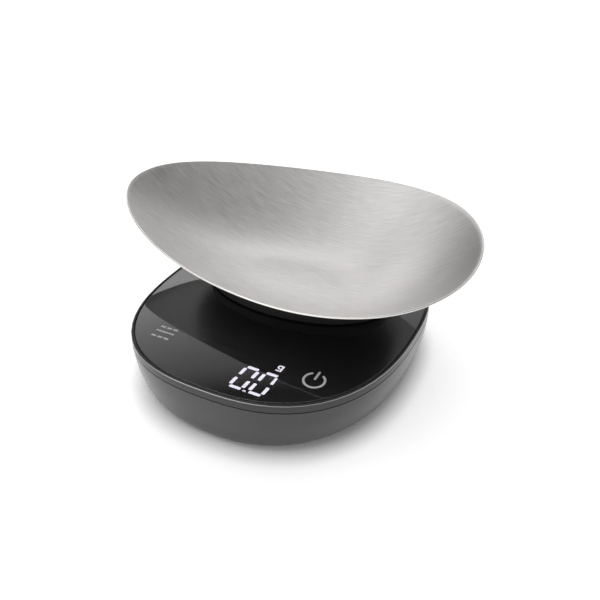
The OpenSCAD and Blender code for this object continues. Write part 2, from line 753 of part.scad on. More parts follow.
// Segments 0 to 6: top, two upper sides, middle, two lower sides, bottom
module digit(x, shown) {
    w = digit_w - segment_w;
    h = (digit_h - segment_w) / 2;
    places = [
        [0, h, 0], [-w / 2, h / 2, 90], [w / 2, h / 2, 90], [0, 0, 0],
        [-w / 2, -h / 2, 90], [w / 2, -h / 2, 90], [0, -h, 0]
    ];
    translate([x, digit_y, 0]) leaning() for (s = shown) translate([places[s][0], places[s][1], 0])
        rotate([0, 0, places[s][2]]) segment(places[s][2] == 0 ? w - gap_across : h - gap_up);
}

module point(x) translate([x, digit_y, 0]) leaning()
    translate([digit_pitch / 2, -digit_h / 2 + 0.1, -segment_t])
        cylinder(h = segment_t, r = point_r, $fn = 24);

// The sign of the unit, over the last digit: a ring against a stem with a foot to the left
module unit_sign()
    translate([digit_x[digits - 1] + unit_x, -display_front + display_d - unit_in, -segment_t]) difference() {
        union() {
            cylinder(h = segment_t, r = unit_r, $fn = 24);
            box(unit_r - unit_line, unit_r, -unit_tail + unit_line / 2, unit_r, 0, segment_t);
            box(-unit_r, unit_r, -unit_tail, -unit_tail + unit_line, 0, segment_t);
        }
        translate([0, 0, -1]) cylinder(h = segment_t + 2, r = unit_r - unit_line, $fn = 24);
    }

module lit() {
    for (x = [digit_x[digits - 2], digit_x[digits - 1]]) digit(x, [0, 1, 2, 4, 5, 6]);
    point(digit_x[digits - 2]);
    unit_sign();
}

module dark() {
    for (i = [0:digits - 3]) digit(digit_x[i], [0:6]);
    for (x = [digit_x[digits - 2], digit_x[digits - 1]]) digit(x, [3]);
    for (i = [0:digits - 3]) point(digit_x[i]);
}

module lit_segments() color("#f4f8ff") translate([0, 0, board_top + display_h]) lit();

module dark_segments() color("#3b3c40") translate([0, 0, board_top + display_h]) dark();

module display_box(d, z0, z1) box(display_x - display_w / 2 - d, display_x + display_w / 2 + d,
    -display_front - d, -display_front + display_d + d, z0, z1);

module display_module() color("#202124") difference() {
    display_box(0, board_top, board_top + display_h);
    translate([0, 0, board_top + display_h]) {
        lit();
        dark();
    }
}

module display_gasket() color("#161616") difference() {
    display_box(0, glass_z - gasket_t, glass_z);
    display_box(-gasket_w / 2, glass_z - gasket_t - 1, glass_z + 1);
}

// A point of the dish's underside: t is 0 at the foot and 1 at the rim, p goes round
function rim_point(p) = let (
    x = dish_l / 2 * spow(cos(p), 2 / rim_power),
    y = dish_w / 2 * spow(sin(p), 2 / rim_power)
) [
    rim_x + x * (1 + rim_swell_x * y / (dish_w / 2)),
    rim_y + y * (1 + rim_swell_y * x / (dish_l / 2)),
    dish_depth + dish_tilt * sin(p) + dish_rise * cos(p) * cos(p)
];
function bowl_point(t, p) = let (
    f = [dish_foot_l / 2 * cos(p), dish_foot_w / 2 * sin(p)],
    r = rim_point(p)
) [
    f[0] + (r[0] - f[0]) * t,
    f[1] + (r[1] - f[1]) * t,
    r[2] * pow(max(t, 0), bowl_power)
];
function bowl_normal(t, p) =
    let (d = 0.01) unit(cross(bowl_point(t + d, p) - bowl_point(t - d, p),
        bowl_point(t, p + 1) - bowl_point(t, p - 1)));
function bowl_loop(t, inside) = [for (i = [0:steps - 1]) let (p = 360 * i / steps)
    bowl_point(t, p) + inside * dish_t * (t > 0 ? bowl_normal(t, p) : [0, 0, 1])];

module weighing_dish() color("#b9b7b5")
    translate([0, platform_y, cap_top + seat_gap]) rotate([0, 0, dish_turn])
    capped(concat(
        [for (j = [0:bowl_steps]) bowl_loop(j / bowl_steps, 0)],
        [for (j = [bowl_steps:-1:0]) bowl_loop(j / bowl_steps, 1)]));

lower_housing();
upper_housing();
glass_top();
printed_marks();
glass_adhesive();
rubber_feet();
housing_screws();
battery_door();
batteries();
battery_springs();
battery_contacts();
battery_leads();
load_cell();
gauge_sealant();
fixed_spacer();
fixed_screws();
overload_stop();
load_cell_leads();
free_spacer();
free_screws();
platform_carrier();
platform_cap();
main_board();
board_screws();
microcontroller();
converter_chip();
board_parts();
wire_sockets();
touch_springs();
display_module();
lit_segments();
dark_segments();
display_gasket();
weighing_dish();
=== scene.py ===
"""A small digital scale with a lift-off steel dish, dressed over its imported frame.

Every length in the classes below is in millimetres, and is turned to metres where a mesh is made.
Every angle is in degrees. +Z is up, +X is the user's right and +Y points away from the user.
"""

import logging
import math
from collections.abc import Callable
from dataclasses import dataclass, field
from enum import Enum

import bpy
from mathutils import Euler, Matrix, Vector


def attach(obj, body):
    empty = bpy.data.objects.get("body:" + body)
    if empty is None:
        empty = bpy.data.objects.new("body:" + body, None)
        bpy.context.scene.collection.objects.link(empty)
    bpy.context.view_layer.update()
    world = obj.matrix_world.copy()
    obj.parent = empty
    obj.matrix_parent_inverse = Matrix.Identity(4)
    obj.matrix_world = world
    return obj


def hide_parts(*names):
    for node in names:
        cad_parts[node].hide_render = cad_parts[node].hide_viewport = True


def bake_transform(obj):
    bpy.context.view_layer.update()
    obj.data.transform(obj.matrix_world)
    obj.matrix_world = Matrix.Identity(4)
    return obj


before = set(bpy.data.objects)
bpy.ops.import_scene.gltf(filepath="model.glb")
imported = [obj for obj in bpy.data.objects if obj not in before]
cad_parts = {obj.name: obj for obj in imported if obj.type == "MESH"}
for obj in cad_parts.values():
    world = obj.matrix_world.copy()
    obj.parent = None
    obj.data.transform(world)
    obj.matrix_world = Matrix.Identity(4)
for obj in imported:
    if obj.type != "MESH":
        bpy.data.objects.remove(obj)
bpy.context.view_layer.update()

log = logging.getLogger("scale")

MM = 0.001
# Points closer than this, in metres, are one point
MERGE = 1e-6
# A face whose normal's Z is below this looks down
DOWNWARD = -0.9
# A hair's breadth: what an inset needs where a wall goes straight in, and the slack in heights
HAIR = 0.01
# A bevel rounds the edges that turn by more than this
SHARP = math.radians(50)

Pair = tuple[float, float]
Point = tuple[float, float, float]
Colour = tuple[float, float, float, float]
Object = bpy.types.Object
Face = bpy.types.MeshPolygon
Tree = bpy.types.NodeTree
Node = bpy.types.Node
Socket = bpy.types.NodeSocket


def linear(srgb: str) -> Colour:
    """Turn an sRGB hex value into a linear colour.

    Args:
        srgb: the colour as "#rrggbb".

    Returns:
        Linear red, green and blue, and an alpha of 1.
    """
    parts = [int(srgb[i:i + 2], 16) / 255 for i in (1, 3, 5)]
    red, green, blue = (c / 12.92 if c <= 0.04045 else ((c + 0.055) / 1.055) ** 2.4 for c in parts)
    return red, green, blue, 1.0


def add_node(tree: Tree, kind: str, settings: dict | None = None, links: dict | None = None
             ) -> Node:
    """Add a node with its settings and links.

    Args:
        tree: the node tree.
        kind: the node's type name.
        settings: attributes of the node, or values of its inputs by name or number.
        links: outputs of other nodes, by the name or number of the input that they feed.

    Returns:
        The new node.
    """
    node = tree.nodes.new(kind)
    for key, value in (settings or {}).items():
        if isinstance(key, str) and hasattr(node, key):
            setattr(node, key, value)
        else:
            node.inputs[key].default_value = value
    for key, socket in (links or {}).items():
        tree.links.new(socket, node.inputs[key])
    return node


class Finish:
    """A material, made once and shared by the pieces that have it."""

    name: str

    def settings(self) -> dict:
        """Values set straight on the shader's sockets."""
        raise NotImplementedError

    def pattern(self, tree: Tree, shader: Node, place: Socket) -> None:
        """Link the pattern of this finish to the shader.

        Args:
            tree: the material's node tree.
            shader: its Principled BSDF.
            place: the object coordinates, in metres.
        """
        raise NotImplementedError

    def show(self, tree: Tree, shader: Node, shade: tuple | None = None,
             gloss: tuple | None = None, relief: tuple | None = None) -> None:
        """Let patterns that run from 0 to 1 show in the shader.

        Args:
            tree: the material's node tree.
            shader: its Principled BSDF.
            shade: a pattern, the mean colour, and what the pattern's 0 and 1 multiply it by.
            gloss: a pattern, and the roughness at its 0 and at its 1.
            relief: a pattern, the strength of its bump, and its depth in millimetres.
        """
        if shade:
            source, mean, (low, high) = shade
            value = add_node(tree, "ShaderNodeMapRange", {"To Min": low, "To Max": high},
                             {"Value": source})
            colour = add_node(tree, "ShaderNodeHueSaturation", {"Color": linear(mean)},
                              {"Value": value.outputs[0]})
            tree.links.new(colour.outputs[0], shader.inputs["Base Color"])
        if gloss:
            source, (low, high) = gloss
            rough = add_node(tree, "ShaderNodeMapRange", {"To Min": low, "To Max": high},
                             {"Value": source})
            tree.links.new(rough.outputs[0], shader.inputs["Roughness"])
        if relief:
            source, strength, depth = relief
            bump = add_node(tree, "ShaderNodeBump",
                            {"Strength": strength, "Distance": depth * MM}, {"Height": source})
            tree.links.new(bump.outputs[0], shader.inputs["Normal"])

    def material(self) -> bpy.types.Material:
        """Return the material, and make it on the first call.

        Returns:
            The material.
        """
        known = bpy.data.materials.get(self.name)
        if known:
            return known
        material = bpy.data.materials.new(self.name)
        material.use_nodes = True
        tree = material.node_tree
        tree.nodes.clear()
        shader = add_node(tree, "ShaderNodeBsdfPrincipled", self.settings())
        add_node(tree, "ShaderNodeOutputMaterial", links={"Surface": shader.outputs[0]})
        place = add_node(tree, "ShaderNodeTexCoord").outputs["Object"]
        self.pattern(tree, shader, place)
        return material


@dataclass(frozen=True)
class MouldedPlastic(Finish):
    """Moulded plastic or rubber: a fine grain off the mould, and a slow drift where it flowed.

    The grain's size and depth and the flow's size are lengths. Drift is how far the shade strays.
    """

    name: str
    colour: str
    roughness: float = 0.4
    grain: float = 0.4
    depth: float = 0.01
    drift: float = 0.06
    coat: float = 0.0
    flow: float = 18.0
    uneven: float = 0.06
    strength: float = 0.35

    def settings(self) -> dict:
        """Values set straight on the shader's sockets."""
        return {"IOR": 1.5, "Coat Weight": self.coat, "Coat Roughness": 0.06}

    def pattern(self, tree: Tree, shader: Node, place: Socket) -> None:
        """Show the grain in relief and gloss, and the drift in the shade.

        Args:
            tree: the material's node tree.
            shader: its Principled BSDF.
            place: the object coordinates, in metres.
        """
        grain = add_node(tree, "ShaderNodeTexNoise",
                         {"Scale": 1 / (self.grain * MM), "Detail": 2.0}, {"Vector": place})
        cloud = add_node(tree, "ShaderNodeTexNoise",
                         {"Scale": 1 / (self.flow * MM), "Detail": 1.0}, {"Vector": place})
        self.show(tree, shader,
                  (cloud.outputs[0], self.colour, (1 - 2 * self.drift, 1 + 2 * self.drift)),
                  (grain.outputs[0], (self.roughness - self.uneven, self.roughness + self.uneven)),
                  (grain.outputs[0], self.strength, self.depth))


@dataclass(frozen=True)
class PearlAbs(Finish):
    """Polished ABS with mica in it: a clear gloss over flakes that glitter faintly.

    The flakes stand 0.35 mm apart, and the gloss drifts over 25 mm as the melt flowed.
    """

    name: str
    colour: str = "#3b393a"
    flake: float = 0.35
    flow: float = 25.0
    glitter: Pair = (0.86, 1.14)
    gloss: Pair = (0.26, 0.36)
    strength: float = 0.12
    depth: float = 0.01

    def settings(self) -> dict:
        """Values set straight on the shader's sockets."""
        return {"Metallic": 0.3, "IOR": 1.5, "Coat Weight": 0.35, "Coat Roughness": 0.12,
                "Coat IOR": 1.5}

    def pattern(self, tree: Tree, shader: Node, place: Socket) -> None:
        """Let the flakes differ a little in shade and tilt, and the gloss drift.

        Args:
            tree: the material's node tree.
            shader: its Principled BSDF.
            place: the object coordinates, in metres.
        """
        flakes = add_node(tree, "ShaderNodeTexVoronoi", {"Scale": 1 / (self.flake * MM)},
                          {"Vector": place})
        grey = add_node(tree, "ShaderNodeRGBToBW", links={"Color": flakes.outputs["Color"]})
        cloud = add_node(tree, "ShaderNodeTexNoise",
                         {"Scale": 1 / (self.flow * MM), "Detail": 1.0}, {"Vector": place})
        self.show(tree, shader, (grey.outputs[0], self.colour, self.glitter),
                  (cloud.outputs[0], self.gloss), (grey.outputs[0], self.strength, self.depth))


@dataclass(frozen=True)
class SmokedGlass(Finish):
    """Tempered float glass, smoked: it mirrors the room and lets only the lit digits through.

    Handling leaves faint smears, 14 mm wide, that soften the gloss.
    """

    name: str
    colour: str = "#454345"
    clear: float = 0.86
    smear: float = 14.0
    gloss: Pair = (0.0, 0.03)

    def settings(self) -> dict:
        """Values set straight on the shader's sockets."""
        return {"Base Color": linear(self.colour), "IOR": 1.52, "Transmission Weight": self.clear}

    def pattern(self, tree: Tree, shader: Node, place: Socket) -> None:
        """Show the smears in the gloss.

        Args:
            tree: the material's node tree.
            shader: its Principled BSDF.
            place: the object coordinates, in metres.
        """
        smear = add_node(tree, "ShaderNodeTexNoise",
                         {"Scale": 1 / (self.smear * MM), "Detail": 3.0, "Distortion": 0.6},
                         {"Vector": place})
        self.show(tree, shader, gloss=(smear.outputs[0], self.gloss))


@dataclass(frozen=True)
class BrushedSteel(Finish):
    """Stainless sheet, brushed along its length by a grit belt, with a sheen across the lines.

    The lines are 0.3 mm apart, drawn coarser than the real grit so that they show, and about
    12 mm long.
    """

    name: str
    colour: str = "#cecccb"
    pitch: float = 0.3
    length: float = 12.0
    contrast: Pair = (0.8, 1.2)
    gloss: Pair = (0.32, 0.5)
    strength: float = 0.25
    depth: float = 0.02

    def settings(self) -> dict:
        """Values set straight on the shader's sockets."""
        return {"Metallic": 1.0, "Anisotropic": 0.8, "Anisotropic Rotation": 0.25}

    def pattern(self, tree: Tree, shader: Node, place: Socket) -> None:
        """Draw the lines on the dish's own map, straight along it as the belt ran.

        Args:
            tree: the material's node tree.
            shader: its Principled BSDF.
            place: the object coordinates, which this finish leaves for the map.
        """
        sheet = add_node(tree, "ShaderNodeUVMap", {"uv_map": "sheet"})
        stretched = add_node(tree, "ShaderNodeMapping",
                             {"Scale": (1 / (self.length * MM), 1 / (self.pitch * MM), 1)},
                             {"Vector": sheet.outputs[0]})
        noise = add_node(tree, "ShaderNodeTexNoise",
                         {"Scale": 1.0, "Detail": 3.0, "Roughness": 0.75},
                         {"Vector": stretched.outputs[0]})
        lines = add_node(tree, "ShaderNodeMapRange", {"From Min": 0.3, "From Max": 0.7},
                         {"Value": noise.outputs[0]})
        self.show(tree, shader, (lines.outputs[0], self.colour, self.contrast),
                  (lines.outputs[0], self.gloss), (lines.outputs[0], self.strength, self.depth))
        tangent = add_node(tree, "ShaderNodeTangent",
                           {"direction_type": "UV_MAP", "uv_map": "sheet"})
        tree.links.new(tangent.outputs[0], shader.inputs["Tangent"])


@dataclass(frozen=True)
class Metal(Finish):
    """Plated or bare metal: turned, drawn or milled, so its gloss wavers with the tool's marks.

    Mark is the width of the tool's marks, and stretch draws them out along an axis.
    """

    name: str
    colour: str
    roughness: float = 0.25
    mark: float = 0.3
    stretch: Point = (1.0, 1.0, 1.0)
    waver: float = 0.1
    strength: float = 0.2
    depth: float = 0.01

    def settings(self) -> dict:
        """Values set straight on the shader's sockets."""
        return {"Metallic": 1.0}

    def pattern(self, tree: Tree, shader: Node, place: Socket) -> None:
        """Show the tool's marks in the gloss, the shade and a light relief.

        Args:
            tree: the material's node tree.
            shader: its Principled BSDF.
            place: the object coordinates, in metres.
        """
        scale = tuple(share / (self.mark * MM) for share in self.stretch)
        mapped = add_node(tree, "ShaderNodeMapping", {"Scale": scale}, {"Vector": place})
        marks = add_node(tree, "ShaderNodeTexNoise", {"Scale": 1.0, "Detail": 3.0},
                         {"Vector": mapped.outputs[0]})
        self.show(tree, shader,
                  (marks.outputs[0], self.colour, (1 - self.waver, 1 + self.waver)),
                  (marks.outputs[0], (self.roughness - self.waver, self.roughness + self.waver)),
                  (marks.outputs[0], self.strength, self.depth))


@dataclass(frozen=True)
class SolderMask(Finish):
    """Glass-epoxy board under solder mask: its tracks show as paler strips, 1.2 mm apart."""

    name: str
    colour: str = "#1d5a39"
    track: str = "#2f7a4c"
    pitch: float = 1.2
    depth: float = 0.03

    def settings(self) -> dict:
        """Values set straight on the shader's sockets."""
        return {"Roughness": 0.3, "IOR": 1.55, "Coat Weight": 0.3, "Coat Roughness": 0.15}

    def pattern(self, tree: Tree, shader: Node, place: Socket) -> None:
        """Draw the tracks as a brick pattern, each brick a run of track that stands proud.

        Args:
            tree: the material's node tree.
            shader: its Principled BSDF.
            place: the object coordinates, in metres.
        """
        bricks = {"Scale": 1 / (self.pitch * MM), "Mortar Size": 0.22, "Brick Width": 9.0,
                  "Row Height": 1.0, "Color1": linear(self.track), "Color2": linear(self.colour),
                  "Mortar": linear(self.colour)}
        tracks = add_node(tree, "ShaderNodeTexBrick", bricks, {"Vector": place})
        bump = add_node(tree, "ShaderNodeBump",
                        {"invert": True, "Strength": 0.3, "Distance": self.depth * MM},
                        {"Height": tracks.outputs["Fac"]})
        tree.links.new(tracks.outputs["Color"], shader.inputs["Base Color"])
        tree.links.new(bump.outputs[0], shader.inputs["Normal"])


@dataclass(frozen=True)
class LampPlastic(Finish):
    """Diffusing epoxy over a light-emitting chip: an even white glow that shows through the glass.

    The diffuser's own colour and its 0.3 mm grain show when the lamp is off.
    """

    name: str
    lit: str = "#f3f4fb"
    off: str = "#d9d9d6"
    strength: float = 24.0
    grain: float = 0.3
    shade: Pair = (0.85, 1.0)
    gloss: Pair = (0.4, 0.6)

    def settings(self) -> dict:
        """Values set straight on the shader's sockets."""
        return {"Emission Color": linear(self.lit), "Emission Strength": self.strength, "IOR": 1.5}

    def pattern(self, tree: Tree, shader: Node, place: Socket) -> None:
        """Show the diffuser's grain in shade and gloss.

        Args:
            tree: the material's node tree.
            shader: its Principled BSDF.
            place: the object coordinates, in metres.
        """
        grain = add_node(tree, "ShaderNodeTexNoise", {"Scale": 1 / (self.grain * MM)},
                         {"Vector": place})
        self.show(tree, shader, (grain.outputs[0], self.off, self.shade),
                  (grain.outputs[0], self.gloss))


# The housing is polished in the mould: dark grey, with soft broad highlights
HOUSING = PearlAbs("polished_pearl_abs")
# The trim is the same plastic with less mica, so it looks a shade darker than the housing
TRIM = PearlAbs("polished_dark_pearl_abs", "#2b2a2b")
# Near-black, dull plastic as painted shade: on the trim's top beside the glass, and in the seam
# between the housing's halves
PAINTED_SHADE = MouldedPlastic("black_abs_painted_shade", "#161516", roughness=0.6, depth=0.02)
# A pale metallic band all round the trim's shoulder is a painted highlight: a thin line of light
PAINTED_HIGHLIGHT = Metal("pearl_abs_painted_highlight", "#a5a4a5", roughness=0.2, mark=0.8)
# The glass is black until something lit stands close under it
GLASS = SmokedGlass("smoked_tempered_glass")
# The dish's sheet has a soft grey sheen that is drawn out across its fine lines
STEEL = BrushedSteel("brushed_stainless_sheet")
# The cut edge is buffed after pressing, so it is smoother and paler than the sheet
RIM = Metal("buffed_stainless_edge", "#e2e0dc", roughness=0.16, mark=0.6)
# Black ABS off a spark-eroded mould: satin, with a grain that breaks up its sheen
CAP = MouldedPlastic("black_abs", "#1c1a1b", roughness=0.38, grain=0.5, depth=0.02)
# Natural rubber, pressed: dull, with a bloom of paler dust
RUBBER = MouldedPlastic("pressed_rubber", "#232323", roughness=0.72, grain=0.6, depth=0.04,
                        drift=0.12)
# Aluminium bar, milled: the cutter's lines run across the bar
ALUMINIUM = Metal("milled_aluminium", "#bfc1c3", roughness=0.3, mark=0.35,
                  stretch=(1.0, 0.05, 1.0))
# Silicone over the gauges: milky and softly glossy
SILICONE = MouldedPlastic("milky_silicone", "#dedbd2", roughness=0.35, grain=1.2, depth=0.06,
                          drift=0.04)
# Zinc-plated steel: bright, with the header's scuffs
ZINC = Metal("zinc_plated_steel", "#a9abad", roughness=0.28, mark=0.4)
# Spring wire, nickel-plated: bright along the wire
WIRE = Metal("nickel_plated_wire", "#c3c0b8", roughness=0.2, mark=0.25)
# Moulding compound of a chip: matt black with filler that glints
COMPOUND = MouldedPlastic("epoxy_mould_compound", "#262629", roughness=0.55, grain=0.2)

# The CAD nodes that stay, and what each is made of
CARRIED = {
    # Pad-printed ink: matt, with an edge of slightly uneven cover
    "printed_marks": MouldedPlastic("pad_printed_ink", "#c4c3c3", roughness=0.5, grain=0.25,
                                    depth=0.005, drift=0.03),
    # Acrylic foam tape: dull black, with open cells
    "glass_adhesive": MouldedPlastic("acrylic_foam_tape", "#262526", roughness=0.8, grain=0.5,
                                     depth=0.05, drift=0.08),
    "housing_screws": ZINC,
    "fixed_screws": ZINC,
    "free_screws": ZINC,
    "board_screws": ZINC,
    "overload_stop": ZINC,
    # ABS of the door: the housing's grey without its polish, so it is greyer and softer
    "battery_door": MouldedPlastic("satin_grey_abs", "#454344", roughness=0.45, grain=0.5,
                                   depth=0.025),
    # Shrink sleeve over a drawn can: smooth and slightly wet-looking
    "batteries": MouldedPlastic("printed_shrink_sleeve", "#7f858b", roughness=0.25, grain=1.5,
                                drift=0.1, coat=0.5),
    "battery_springs": WIRE,
    "touch_springs": WIRE,
    # Rolled strip, nickel-plated: the rolling shows as lines across the contact
    "battery_contacts": Metal("nickel_plated_strip", "#bfbdb6", roughness=0.22,
                              stretch=(1.0, 0.08, 1.0)),
    # PVC insulation, extruded: an even satin skin
    "battery_leads": MouldedPlastic("black_pvc_insulation", "#2c2c2e", roughness=0.42, grain=0.6),
    "load_cell_leads": MouldedPlastic("red_pvc_insulation", "#a93a30", roughness=0.42, grain=0.6),
    "fixed_spacer": ALUMINIUM,
    "free_spacer": ALUMINIUM,
    "platform_carrier": ALUMINIUM,
    "main_board": SolderMask("green_solder_mask"),
    "microcontroller": COMPOUND,
    "converter_chip": COMPOUND,
    # Sintered ceramic of the small parts: tan and dry
    "board_parts": MouldedPlastic("sintered_ceramic", "#a98f60", roughness=0.6, grain=0.3,
                                  depth=0.02, drift=0.1),
    # Nylon of the sockets: waxy off-white
    "wire_sockets": MouldedPlastic("natural_nylon", "#d8d4c6", grain=0.5, drift=0.03),
    # Reflector case of the display: black, so that only the lit segments show
    "display_module": MouldedPlastic("black_polycarbonate", "#121213", roughness=0.5),
    # Epoxy over the lit chips: an even white glow
    "lit_segments": LampPlastic("lit_epoxy_diffuser"),
    # The same epoxy with its lamp off, dark behind smoked glass
    "dark_segments": MouldedPlastic("unlit_epoxy_diffuser", "#2b2b2c", roughness=0.5, grain=0.3,
                                    depth=0.005),
    # Closed-cell foam: dull, with fine pores
    "display_gasket": MouldedPlastic("closed_cell_foam", "#2d2d2f", roughness=0.85, grain=0.7,
                                     depth=0.08, drift=0.08),
}


def deselect_all() -> None:
    """Leave nothing selected."""
    bpy.ops.object.select_all(action="DESELECT")


def take(obj: Object) -> None:
    """Make one object the only selected and the active one.

    Args:
        obj: the object.
    """
    deselect_all()
    obj.select_set(True)
    bpy.context.view_layer.objects.active = obj


def work(*steps: Callable[[], object]) -> None:
    """Run operators in edit mode on what is selected of the active object.

    Args:
        steps: calls that each run one operator.
    """
    bpy.ops.object.mode_set(mode="EDIT")
    for step in steps:
        step()
    bpy.ops.object.mode_set(mode="OBJECT")


def edit(obj: Object, *steps: Callable[[], object]) -> None:
    """Run operators in edit mode on a whole object.

    Args:
        obj: the object.
        steps: calls that each run one operator.
    """
    take(obj)
    work(lambda: bpy.ops.mesh.select_all(action="SELECT"), *steps)


def pick(obj: Object, mode: str, wanted: Callable[[object], bool]) -> None:
    """Select edges or faces of an object by their place or normal.

    Args:
        obj: the object.
        mode: EDGE or FACE.
        wanted: says of one edge or face whether it is selected.
    """
    take(obj)
    work(lambda: bpy.ops.mesh.select_mode(type=mode),
         lambda: bpy.ops.mesh.select_all(action="DESELECT"))
    for item in {"EDGE": obj.data.edges, "FACE": obj.data.polygons}[mode]:
        item.select = wanted(item)


def sink(obj: Object, *rings: Pair) -> None:
    """Inset the faces of an object that look down, ring after ring.

    Args:
        obj: the object.
        rings: the width of each ring, and how far it goes into the object.
    """
    pick(obj, "FACE", lambda face: face.normal.z < DOWNWARD)
    for width, depth in rings:
        work(lambda: bpy.ops.mesh.inset(thickness=width * MM, depth=-depth * MM))


def finish_mesh(obj: Object, name: str, crease: float, outward: bool = True) -> Object:
    """Merge a mesh's points, turn its faces outwards, smooth it and put it at the origin.

    Args:
        obj: the object.
        name: its name from here on.
        crease: edges sharper than this many degrees stay sharp.
        outward: whether the normals are worked out again.

    Returns:
        The same object.
    """
    steps = [lambda: bpy.ops.mesh.remove_doubles(threshold=MERGE)]
    if outward:
        steps.append(lambda: bpy.ops.mesh.normals_make_consistent(inside=False))
    edit(obj, *steps)
    bpy.ops.object.transform_apply(location=True, rotation=True, scale=True)
    bpy.ops.object.shade_smooth_by_angle(angle=math.radians(crease))
    obj.name = name
    obj.data.name = name
    return obj


def sheet_of(columns: int, rows: int, place: Callable[[float, float], Point]) -> Object:
    """Add a grid and put each of its points in place.

    Args:
        columns: faces along the grid.
        rows: faces across the grid.
        place: gives a point for a share of the grid's length and of its width.

    Returns:
        The grid's object.
    """
    deselect_all()
    bpy.ops.mesh.primitive_grid_add(x_subdivisions=columns, y_subdivisions=rows, size=1)
    obj = bpy.context.object
    for vertex in obj.data.vertices:
        vertex.co = Vector(place(vertex.co.x + 0.5, vertex.co.y + 0.5)) * MM
    return obj


def apply_modifier(obj: Object, kind: str, **settings: object) -> None:
    """Add a modifier to an object and apply it.

    Args:
        obj: the object.
        kind: the modifier's type.
        settings: the modifier's own settings.
    """
    take(obj)
    modifier = obj.modifiers.new(kind.lower(), kind)
    for key, value in settings.items():
        setattr(modifier, key, value)
    bpy.ops.object.modifier_apply(modifier=modifier.name)


def copy_node(node: str, name: str, crease: float) -> Object:
    """Copy a CAD node into a piece with merged points and smooth faces.

    Args:
        node: the CAD node.
        name: the piece's name.
        crease: edges sharper than this many degrees stay sharp.

    Returns:
        The piece.
    """
    obj = bpy.data.objects.new(name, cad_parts[node].data.copy())
    bpy.context.scene.collection.objects.link(obj)
    take(obj)
    if obj.data.has_custom_normals:
        bpy.ops.mesh.customdata_custom_splitnormals_clear()
    return finish_mesh(obj, name, crease, outward=False)


def join(main_part: Object, *others: Object) -> None:
    """Join objects into one.

    Args:
        main_part: the object that the others become part of.
        others: the other objects.
    """
    take(main_part)
    for other in others:
        other.select_set(True)
    bpy.ops.object.join()


def dress(piece: Object, *finishes: Finish) -> None:
    """Give a piece its materials in place of those that it has.

    Args:
        piece: the piece.
        finishes: its finishes, in the order of the faces' material numbers.
    """
    piece.data.materials.clear()
    for finish in finishes:
        piece.data.materials.append(finish.material())


def settle(piece: Object, body: str, slot: str, *nodes: str) -> None:
    """Put a finished piece on its body, in place of the nodes it stands for.

    Args:
        piece: the piece.
        body: the CAD body that it moves with.
        slot: the record's material slot; not used.
        nodes: the CAD nodes that it stands for.
    """
    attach(piece, body)
    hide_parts(*nodes)
    log.info("%s: %d faces, on %s, for %s", piece.name, len(piece.data.polygons), body,
             ", ".join(nodes))


@dataclass(frozen=True)
class Outline:
    """The rounded square that glass and housing share, wider at the back than at the front."""

    half_width: float = 60.0
    half_depth: float = 65.0
    power: float = 2.55
    swell: float = 0.04

    def point(self, turn: float, grown: float = 0.0) -> Pair:
        """Return a point of the outline.

        Args:
            turn: share of a full turn, from +X towards +Y.
            grown: how far both half sizes are grown.

        Returns:
            Its X and Y.
        """
        a, b = self.half_width + grown, self.half_depth + grown
        c, s = math.cos(2 * math.pi * turn), math.sin(2 * math.pi * turn)
        r = (abs(c / a) ** self.power + abs(s / b) ** self.power) ** (-1 / self.power)
        return r * c * (1 + self.swell * r * s / b), r * s


